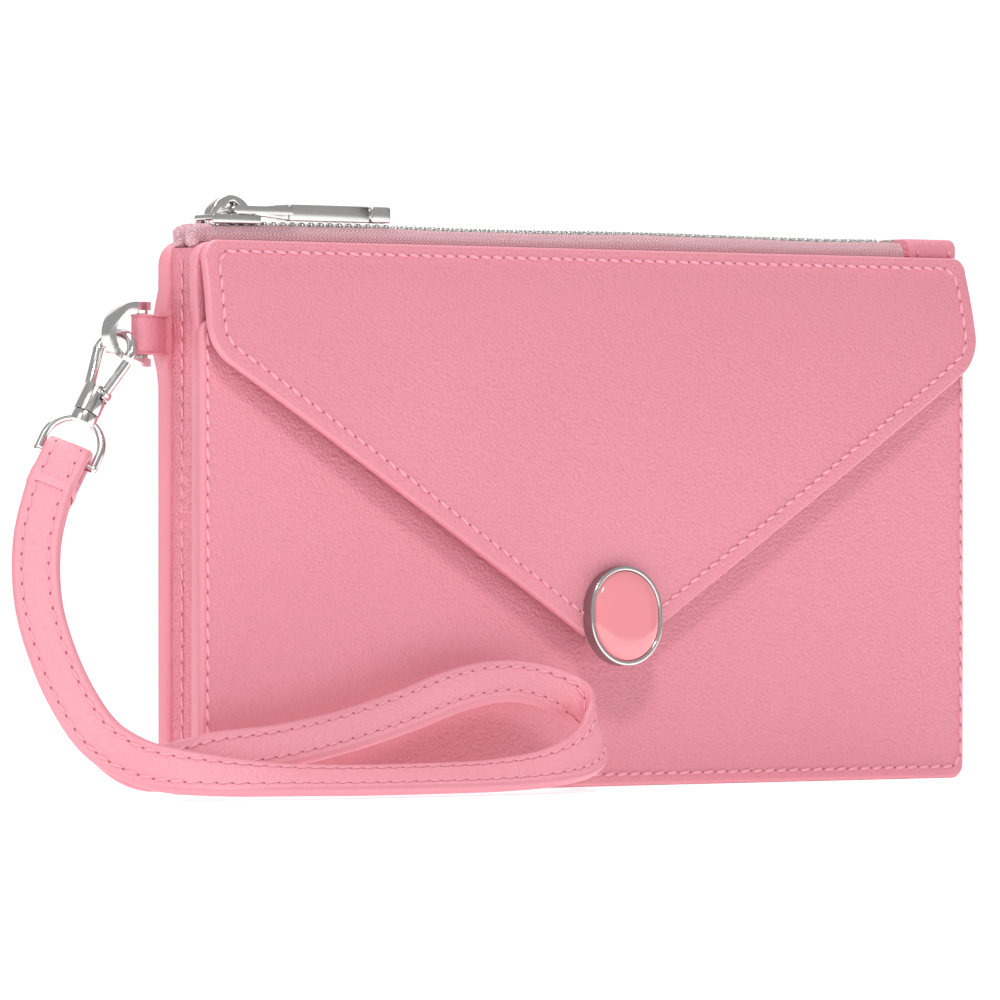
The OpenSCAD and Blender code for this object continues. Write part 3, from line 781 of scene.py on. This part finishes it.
for magnet_name in ("magnet_flap", "magnet_pocket"):
    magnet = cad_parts[magnet_name]
    magnet.data.materials.clear()
    magnet.data.materials.append(nickel)
bpy.ops.object.select_all(action="DESELECT")

# ---------- zip ----------
# A number five metal zip: two herringbone woven tapes sewn inside the panels' top edges,
# stamped teeth clenched on their beads, and a leather tab over the far end.

tape_cloth, tape_surface, tape_wire = finish_named("herringbone_tape", 0.8)
tape_spot = tape_wire.node("SeparateXYZ", Vector=tape_wire.node("TexCoord", out=3))
tape_x = tape_spot
tape_z = Wire(tape_wire.tree, tape_spot.socket.node.outputs[2])
tape_y = Wire(tape_wire.tree, tape_spot.socket.node.outputs[1])
rib = tape_wire.maths("PINGPONG", tape_z * 1.1 + tape_y * 0.8, 0.00105)
weave = tape_wire.maths("SINE", (tape_x + rib * 1.5) * 6400.0)
cross_weave = tape_wire.maths("SINE", (tape_z + tape_y) * 12000.0)
tape_height = weave * 0.5 + cross_weave * 0.15
feed(tape_surface, {
    "Base Color": blend_colours(
        tape_wire, weave * 0.5 + 0.5, (0.88, 0.40, 0.46, 1), (1.0, 0.70, 0.75, 1)),
    "Roughness": weave * -0.08 + 0.8,
    "Normal": tape_wire.node("Bump", Strength=1.0, Distance=0.0004, Height=tape_height),
})

teeth_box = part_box("zip_teeth_front"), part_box("zip_teeth_back")
teeth_low = Vector(teeth_box[0][0])
zip_height = (teeth_low.z + teeth_box[0][1][2]) / 2
zip_middle = (teeth_box[0][0][1] + teeth_box[1][1][1]) / 2
tape_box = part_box("zip_tape_front"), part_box("zip_tape_back")
for side, tape_name, leg in ((-1, "zip_tape_front", tape_box[0][0][1]),
                             (1, "zip_tape_back", tape_box[1][1][1])):
    outer = abs(leg - zip_middle)
    tape_line = [(outer - 0.25 * mm, -0.015), (outer - 0.25 * mm, -3.4 * mm), (outer - 0.35 * mm, -1.9 * mm),
                 (outer - 0.75 * mm, -0.8 * mm), (outer - 1.5 * mm, -0.15 * mm), (2.2 * mm, 0.05 * mm),
                 (1.5 * mm, 0.1 * mm)]
    start_x, end_x = tape_box[0][0][0] - 1.5 * mm, tape_box[0][1][0]
    tape_rows = []
    for step in range(141):
        share = step / 140
        x = start_x + (end_x - start_x) * share
        droop = 0.35 * mm * math.sin(x * 74) + 0.15 * mm * math.sin(x * 190 + side)
        ring = []
        for thick in (-0.25 * mm, 0.25 * mm):
            line = tape_line if thick < 0 else list(reversed(tape_line))
            for place, (out, up) in enumerate(line):
                lift = 1 if up > -3 * mm else 0
                ring.append((x, zip_middle + side * (out + thick * (1 if up < -0.5 * mm else 0.3)),
                             zip_height + up - thick * (1 if up > -2 * mm else 0) + droop * lift * 0.4))
        tape_rows.append(ring)
    tape = strip_mesh(tape_name + "_woven", tape_rows, tape_cloth)
    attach(tape, "body")
    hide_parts(tape_name)

# the tapes' near ends are folded under and tacked, which leaves a soft roll
for side in (-1, 1):
    roll_y = zip_middle + side * 2.15 * mm
    roll = start_block("tape_roll_front" if side < 0 else "tape_roll_back",
                       (-101.2 * mm, roll_y - 1.75 * mm, zip_height - 4.2 * mm),
                       (-95.5 * mm, roll_y + 1.75 * mm, zip_height + 0.5 * mm))
    pick(roll, "edges", lambda edge: True)
    bpy.ops.mesh.bevel(offset=1.5 * mm, segments=6)
    cut_strips(0, -101.2 * mm, -95.5 * mm, 10)
    bpy.ops.object.mode_set(mode="OBJECT")
    for vert in roll.data.vertices:
        crinkle = math.sin(vert.co.x * 2600) * math.sin(vert.co.z * 1900 + side)
        vert.co.y += 0.18 * mm * crinkle
        vert.co.z += 0.12 * mm * crinkle - 0.5 * mm * (1 if vert.co.x < -99 * mm else 0)
    roll.data.materials.append(tape_cloth)
    smooth_piece(roll, 70)
    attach(roll, "body")

# one tooth: a stamped bar with a nib, wider where it is clenched on the tape
bpy.ops.object.select_all(action="DESELECT")
tooth = start_block("tooth", (-0.55 * mm, -0.7 * mm, -1.15 * mm), (0.55 * mm, 1.7 * mm, 1.15 * mm))
pick(tooth, "faces", lambda face: face.normal.y < -0.9)
bpy.ops.transform.resize(value=(0.7, 1, 0.72), center_override=(0, 0, 0))
pick(tooth, "faces", lambda face: face.normal.y > 0.9)
bpy.ops.mesh.extrude_region_move(TRANSFORM_OT_translate={"value": (0, 0.5 * mm, 0)})
bpy.ops.transform.resize(value=(0.7, 1, 0.6), center_override=(0, 0, 0))
pick(tooth, "edges", lambda edge: True)
bpy.ops.mesh.bevel(offset=0.22 * mm, segments=2)
bpy.ops.object.mode_set(mode="OBJECT")
tooth_points = np.array([vert.co for vert in tooth.data.vertices])
tooth_faces = [tuple(face.vertices) for face in tooth.data.polygons]
bpy.data.objects.remove(tooth)
tooth_pitch = 2.4 * mm
for side, teeth_name, lag in ((-1, "zip_teeth_front", 0), (1, "zip_teeth_back", 0.5)):
    low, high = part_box(teeth_name)
    count = int(round((high[0] - low[0]) / tooth_pitch + 0.4))
    points, faces = [], []
    for k in range(count):
        x = teeth_low.x + 0.525 * mm + (k + lag) * tooth_pitch
        droop = 0.14 * mm * math.sin(x * 74)
        base = len(points)
        placed = tooth_points * (1, side, 1) + (x, zip_middle, zip_height + droop)
        points.extend(tuple(point) for point in placed)
        faces.extend(tuple(base + v for v in (face if side > 0 else reversed(face)))
                     for face in tooth_faces)
    mesh = bpy.data.meshes.new(teeth_name + "_stamped")
    mesh.from_pydata(points, [], faces)
    mesh.materials.append(nickel)
    teeth = bpy.data.objects.new(teeth_name + "_stamped", mesh)
    bpy.context.scene.collection.objects.link(teeth)
    smooth_piece(teeth, 50)
    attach(teeth, "body")
    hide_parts(teeth_name)


def polished_copy(node, body, rim, segments=3, material=nickel, angle=35):
    """A CAD part made into one skin, with the soft rounded edges that tumbling gives."""
    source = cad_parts[node]
    piece = source.copy()
    piece.data = source.data.copy()
    piece.name = node + "_finished"
    piece.parent = None
    piece.matrix_world = Matrix.Identity(4)
    bpy.context.scene.collection.objects.link(piece)
    bpy.ops.object.select_all(action="DESELECT")
    piece.select_set(True)
    bpy.context.view_layer.objects.active = piece
    bpy.ops.object.mode_set(mode="EDIT")
    bpy.ops.mesh.select_all(action="SELECT")
    bpy.ops.mesh.remove_doubles(threshold=0.002 * mm)
    bpy.ops.mesh.dissolve_limited(angle_limit=math.radians(1))
    bpy.ops.object.mode_set(mode="OBJECT")
    round_off = piece.modifiers.new("tumbled", "BEVEL")
    round_off.width = rim
    round_off.segments = segments
    round_off.limit_method = "ANGLE"
    round_off.angle_limit = math.radians(angle)
    bpy.ops.object.modifier_apply(modifier=round_off.name)
    piece.data.materials.clear()
    piece.data.materials.append(material)
    smooth_piece(piece, 40)
    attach(piece, body)
    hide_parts(node)
    return piece


polished_copy("zip_end_stops", "body", 0.2 * mm)
polished_copy("zip_slider", "zip_runner", 0.25 * mm)
polished_copy("zip_bridge", "zip_runner", 0.35 * mm)
polished_copy("pull_link", "zip_pull", 0.4 * mm)
bar_box_low, bar_box_high = (Vector(v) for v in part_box("pull_bar"))
wedge = start_block("pull_wedge", (bar_box_low.x - 8.3 * mm, bar_box_low.y, bar_box_low.z + 0.05 * mm),
                    (bar_box_low.x - 0.15 * mm, bar_box_high.y, bar_box_high.z - 0.05 * mm))
pick(wedge, "faces", lambda face: face.normal.x < -0.9)
bpy.ops.transform.resize(value=(1, 0.75, 0.5),
                         center_override=((bar_box_low + bar_box_high) / 2)[:])
pick(wedge, "edges", lambda edge: True)
bpy.ops.mesh.bevel(offset=0.3 * mm, segments=3)
bpy.ops.object.mode_set(mode="OBJECT")
wedge.data.materials.append(nickel)
smooth_piece(wedge, 40)
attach(wedge, "zip_pull")
polished_copy("pull_bar", "zip_pull", 0.45 * mm)
polished_copy("pull_end_cap", "zip_pull", 0.5 * mm)

tab_low, tab_high = (Vector(v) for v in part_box("zip_end_tab"))
end_tab = start_block("end_tab_leather", tab_low, tab_high)
pick(end_tab, "edges", lambda edge: runs_along(edge, 0) and edge.verts[0].co.z > tab_high.z - mm)
bpy.ops.mesh.bevel(offset=2.2 * mm, segments=6)
pick(end_tab, "edges", lambda edge: not runs_along(edge, 0) and edge.calc_face_angle(0) > 0.5)
bpy.ops.mesh.bevel(offset=0.5 * mm, segments=3)
cut_strips(0, tab_low.x, tab_high.x, 8)
bpy.ops.object.mode_set(mode="OBJECT")
end_tab.data.materials.append(nappa)
smooth_piece(end_tab, 50)
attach(end_tab, "body")
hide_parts("zip_end_tab")
for place, seam_x in (("near", tab_low.x + 2.2 * mm), ("far", tab_high.x - 2.2 * mm)):
    climb = [(seam_x, tab_low.y - 0.02 * mm, tab_low.z + 0.4 * mm),
             (seam_x, tab_low.y - 0.02 * mm, tab_high.z - 2.4 * mm)]
    sew("end_tab_stitches_" + place, [climb], (0, -1, 0), 2.4 * mm, "body", thick=0.6 * mm)

# ---------- linings ----------
# The inside is lined in plain woven cloth, with three stepped card slots on the back.

lining_cloth, lining_surface, lining_wire = finish_named("lining_cloth", 0.85)
lining_spot = lining_wire.node("SeparateXYZ", Vector=lining_wire.node("TexCoord", out=3))
lining_up = Wire(lining_wire.tree, lining_spot.socket.node.outputs[2])
lining_weave = (lining_wire.maths("SINE", lining_spot * 9000.0)
                * lining_wire.maths("SINE", lining_up * 9000.0))
feed(lining_surface, {
    "Base Color": blend_colours(
        lining_wire, lining_weave * 0.5 + 0.5, (0.60, 0.18, 0.25, 1), (0.72, 0.28, 0.35, 1)),
    "Normal": lining_wire.node("Bump", Strength=0.8, Distance=0.0001, Height=lining_weave),
})
for lining_name in ("back_lining", "front_lining", "card_slot_top", "card_slot_middle",
                    "card_slot_bottom"):
    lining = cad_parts[lining_name]
    lining.data.materials.clear()
    lining.data.materials.append(lining_cloth)

# ---------- wrist strap ----------
# A strip of leather doubled over a filler, edge painted and stitched in two rows. It folds
# over the swivel's loop, hangs to the floor, turns there and comes back behind itself.

strap_width, strap_thick = 9.6 * mm, 2.2 * mm
hook_lean, hook_turn, loop_turn = math.radians(28.8), math.radians(70), math.radians(28.7)
hook_crown = Vector((-114, 3.2, 94.3)) * mm
loop_reach = 29 * mm
hook_frame = Matrix.Rotation(hook_lean, 3, "Y") @ Matrix.Rotation(-hook_turn, 3, "Z")
loop_frame = hook_frame @ Matrix.Rotation(loop_turn, 3, "Z")
bar_way = loop_frame.col[0].copy()
bar_middle = hook_crown - hook_frame.col[2] * loop_reach


def across_from(vector, along):
    """The part of a direction that lies across another, at length 1."""
    vector = np.array(vector, float)
    vector = vector - vector.dot(along) * along
    return vector / np.linalg.norm(vector)


bar_across = np.array(bar_way)
strap_down = across_from((-0.55, -0.05, -0.83), bar_across)
strap_forward = np.cross(strap_down, bar_across)
fold_radius = 0.9 * mm + 0.25 * mm + strap_thick / 2


def at_fold(angle, drop):
    """A row of the route on the fold round the loop's bar, or below it on a straight leg."""
    angle = math.radians(angle)
    place = (np.array(bar_middle) + fold_radius * (math.cos(angle) * strap_forward
             - math.sin(angle) * strap_down) + drop * mm * strap_down)
    return np.concatenate([place, bar_across])


def route_row(x, y, z, *way):
    return np.array([x * mm, y * mm, z * mm, *way])


hang = [route_row(*row) for row in (
    (-137.5, -0.5, 52, 0.75, -0.65, -0.1), (-139.5, -4, 40, 0.78, -0.62, 0.05),
    (-138.5, -8, 29, 0.78, -0.58, 0.2), (-135.5, -11.5, 19.5, 0.72, -0.52, 0.45),
    (-131, -15, 12, 0.5, -0.35, 0.75), (-123.5, -20.5, 7, 0.3, 0.1, 0.9))]
lying = [route_row(*row) for row in (
    (-113, -28, 5, 0.3, 0.5, 0.7), (-100, -33.5, 4.1, 0.15, 0.8, 0.55),
    (-84, -36, 3.7, 0, 0.87, 0.5), (-66, -36.5, 3.7, 0, 0.87, 0.5),
    (-48, -36.5, 4, 0, 0.85, 0.53), (-33, -36, 5.4, 0, 0.75, 0.65),
    (-22, -33, 8.5, -0.2, 0.4, 0.85), (-17, -28.5, 13.5, -0.4, 0, 0.9),
    (-18.5, -24.5, 18.5, -0.3, 0.1, 0.9), (-25, -22, 21.8, 0, 0.3, 0.95),
    (-35, -21, 23, 0, 0.5, 0.85), (-47, -21, 21.2, 0.1, 0.55, 0.8),
    (-61, -21.3, 17, 0.1, 0.6, 0.8), (-77, -21.6, 13, 0.1, 0.6, 0.8),
    (-92, -21.4, 10.4, 0.1, 0.5, 0.85), (-106, -20.4, 9, 0.15, 0.35, 0.9))]


def tangent_at(rows, i):
    run = rows[min(i + 1, len(rows) - 1)][:3] - rows[max(i - 1, 0)][:3]
    return run / np.linalg.norm(run)


front_run = [at_fold(0, 2.2), at_fold(0, 8)] + hang
returning = []
for i in range(len(front_run) - 1, 0, -1):
    along = tangent_at(front_run, i)
    wide = across_from(front_run[i][3:], along)
    returning.append(np.concatenate(
        [front_run[i][:3] + (strap_thick + 0.1 * mm) * np.cross(wide, along), front_run[i][3:]]))
last_row = np.concatenate([returning[-1][:3] - 4 * mm * strap_down, bar_across])
fold_rows = ([at_fold(180, 11), at_fold(180, 7), at_fold(180, 3)]
             + [at_fold(angle, 0) for angle in range(180, -1, -30)] + [at_fold(0, 4), at_fold(0, 8)])
route = fold_rows + hang + lying + returning + [last_row]


def smooth_route(rows, steps):
    """A Catmull-Rom curve through the rows."""
    count, smooth = len(rows), []
    for i in range(count - 1):
        a, b, c, d = rows[max(i - 1, 0)], rows[i], rows[i + 1], rows[min(i + 2, count - 1)]
        for k in range(steps):
            s = k / steps
            smooth.append(0.5 * ((2 * b) + (c - a) * s + (2 * a - 5 * b + 4 * c - d) * s * s
                                 + (3 * b - a - 3 * c + d) * s ** 3))
    return smooth + [rows[-1]]


strap_rows = smooth_route(route, 9)
strap_along = [tangent_at(strap_rows, i) for i in range(len(strap_rows))]
strap_wide = [across_from(row[3:], along) for row, along in zip(strap_rows, strap_along)]
strap_out = [np.cross(wide, along) for wide, along in zip(strap_wide, strap_along)]
strap_section = []
half_w, half_t, roll = strap_width / 2, strap_thick / 2, 0.8 * mm
for corner_x, corner_y, start in ((1, 1, 90), (1, -1, 0), (-1, -1, -90), (-1, 1, -180)):
    for step in range(5):
        turn = math.radians(start - step * 22.5)
        strap_section.append((corner_x * (half_w - roll) + roll * math.cos(turn),
                              corner_y * (half_t - roll) + roll * math.sin(turn)))
face_steps = 7
full_section = []
for k in range(len(strap_section)):
    full_section.append(strap_section[k])
    nxt = strap_section[(k + 1) % len(strap_section)]
    if abs(nxt[0] - strap_section[k][0]) > 3 * mm:
        for step in range(1, face_steps):
            share = step / face_steps
            full_section.append((strap_section[k][0] * (1 - share) + nxt[0] * share,
                                 strap_section[k][1] * (1 - share) + nxt[1] * share))
strap_rings = []
for row, wide, out in zip(strap_rows, strap_wide, strap_out):
    ring = []
    for a, b in full_section:
        pillow = 0.12 * mm * math.cos(min(abs(a) / half_w, 1) * math.pi / 2)
        ring.append(row[:3] + wide * a + out * (b + (pillow if b > 0 else -pillow)))
    strap_rings.append(ring)
# the strap's leather is the lighter copy, with painted light
strap = strip_mesh("strap_leather", strap_rings, strap_nappa_painted_light)
strap.data.materials.append(edge_paint)
ring_size = len(full_section)
for index, face in enumerate(strap.data.polygons):
    if index < (len(strap_rings) - 1) * ring_size:
        a, b = full_section[index % ring_size]
        c, d = full_section[(index + 1) % ring_size]
        face.material_index = 1 if abs(a + c) / 2 > half_w - 0.75 * mm else 0
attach(strap, "strap")
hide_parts("wrist_strap")

strap_seams = []
for offset in (-2.75 * mm, 2.75 * mm):
    for face_side in (1, -1):
        lift = half_t + 0.1 * mm
        strap_seams.append([tuple(row[:3] + wide * offset + out * face_side * lift)
                            for row, wide, out in zip(strap_rows[3:-3], strap_wide[3:-3], strap_out[3:-3])])
strap_lookup = np.array([row[:3] for row in strap_rows])


def strap_outward(spot):
    """Away from the strap's middle line at a spot on its face."""
    near = int(np.argmin(np.linalg.norm(strap_lookup - spot, axis=1)))
    height = (spot - strap_lookup[near]).dot(strap_out[near])
    return strap_out[near] * (1 if height > 0 else -1)


sew("strap_stitches", strap_seams, strap_outward, 3.2 * mm, "strap", thick=0.55 * mm)

# the bar tack: thread wound tightly round all layers just below the fold
tack_rows = []
tack_turns, tack_pieces = 7, 28
for step in range(tack_turns * tack_pieces + 1):
    turn = step / tack_pieces
    angle = math.tau * turn
    reach_w, reach_t = half_w + 0.32 * mm, 1.5 * strap_thick + 0.42 * mm
    square = 3.2
    a = math.copysign(abs(math.cos(angle)) ** (2 / square), math.cos(angle)) * reach_w
    b = math.copysign(abs(math.sin(angle)) ** (2 / square), math.sin(angle)) * reach_t
    drop = (6.2 + turn * 0.26) * mm
    tack_rows.append(np.array(bar_middle) + bar_across * a + strap_forward * b + strap_down * drop)
tack_rings = []
for i, spot in enumerate(tack_rows):
    run = tack_rows[min(i + 1, len(tack_rows) - 1)] - tack_rows[max(i - 1, 0)]
    run /= np.linalg.norm(run)
    first = across_from(strap_down, run)
    second = np.cross(run, first)
    tack_rings.append([spot + 0.17 * mm * (first * math.cos(k * math.tau / 6)
                                           + second * math.sin(k * math.tau / 6))
                       for k in range(6)])
tack = strip_mesh("strap_bar_tack_thread", tack_rings, thread)
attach(tack, "strap")
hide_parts("strap_bar_tack")

# ---------- ring tab, ring and snap hook ----------
# A folded leather tab holds a flat nickel D ring; the cast swivel hook clips on it, with a
# sprung gate and a loop that turns on a riveted post.

bar_centre = Vector((-109.3, 3.2)) * mm
tab_low, tab_high = (Vector(v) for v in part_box("ring_tab"))
tab_leather = 1.1 * mm
tab_fold = 1.36 * mm + tab_leather / 2
tab_front = [(-98.5, -2.6), (-101, -2.3), (-103.2, -1.2), (-105.6, 0.6), (-107.4, 1.6)]
tab_behind = [(-98.5, 3.9), (-101, 3.6), (-103.2, 2.8), (-105.6, 2.1), (-107.4, 1.9)]
tab_path = [Vector((x * mm, bar_centre.y - y * mm)) for x, y in tab_front]
tab_path += [Vector((bar_centre.x - tab_fold * math.sin(math.radians(a)),
                     bar_centre.y - tab_fold * math.cos(math.radians(a))))
             for a in range(0, 181, 15)]
tab_path += [Vector((x * mm, bar_centre.y + y * mm)) for x, y in reversed(tab_behind)]
tab_rings = []
for i, spot in enumerate(tab_path):
    run = (tab_path[min(i + 1, len(tab_path) - 1)] - tab_path[max(i - 1, 0)]).normalized()
    normal = Vector((run.y, -run.x))
    ring = []
    rim = 0.35 * mm
    for out, up in ((-1, -1), (1, -1), (1, 1), (-1, 1)):
        z = (tab_high.z - rim * 0) if up > 0 else tab_low.z
        for k in range(3):
            share = (k if (out * up > 0) else 2 - k) / 2
            inset_out = rim * (1 - share)
            inset_up = rim * share
            ring.append((spot.x + normal.x * out * (tab_leather / 2 - inset_out),
                         spot.y + normal.y * out * (tab_leather / 2 - inset_out), z - up * inset_up))
    tab_rings.append(ring)
ring_tab = strip_mesh("ring_tab_leather", tab_rings, nappa)
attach(ring_tab, "body")
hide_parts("ring_tab")

polished_copy("d_ring", "ring", 0.35 * mm)
polished_copy("clasp_hook", "clasp", 0.3 * mm)
polished_copy("clasp_gate", "gate", 0.3 * mm)
polished_copy("swivel_loop", "swivel", 0.25 * mm)
for small_name in ("gate_pin", "gate_spring", "swivel_post"):
    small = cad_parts[small_name]
    small.data.materials.clear()
    small.data.materials.append(nickel)
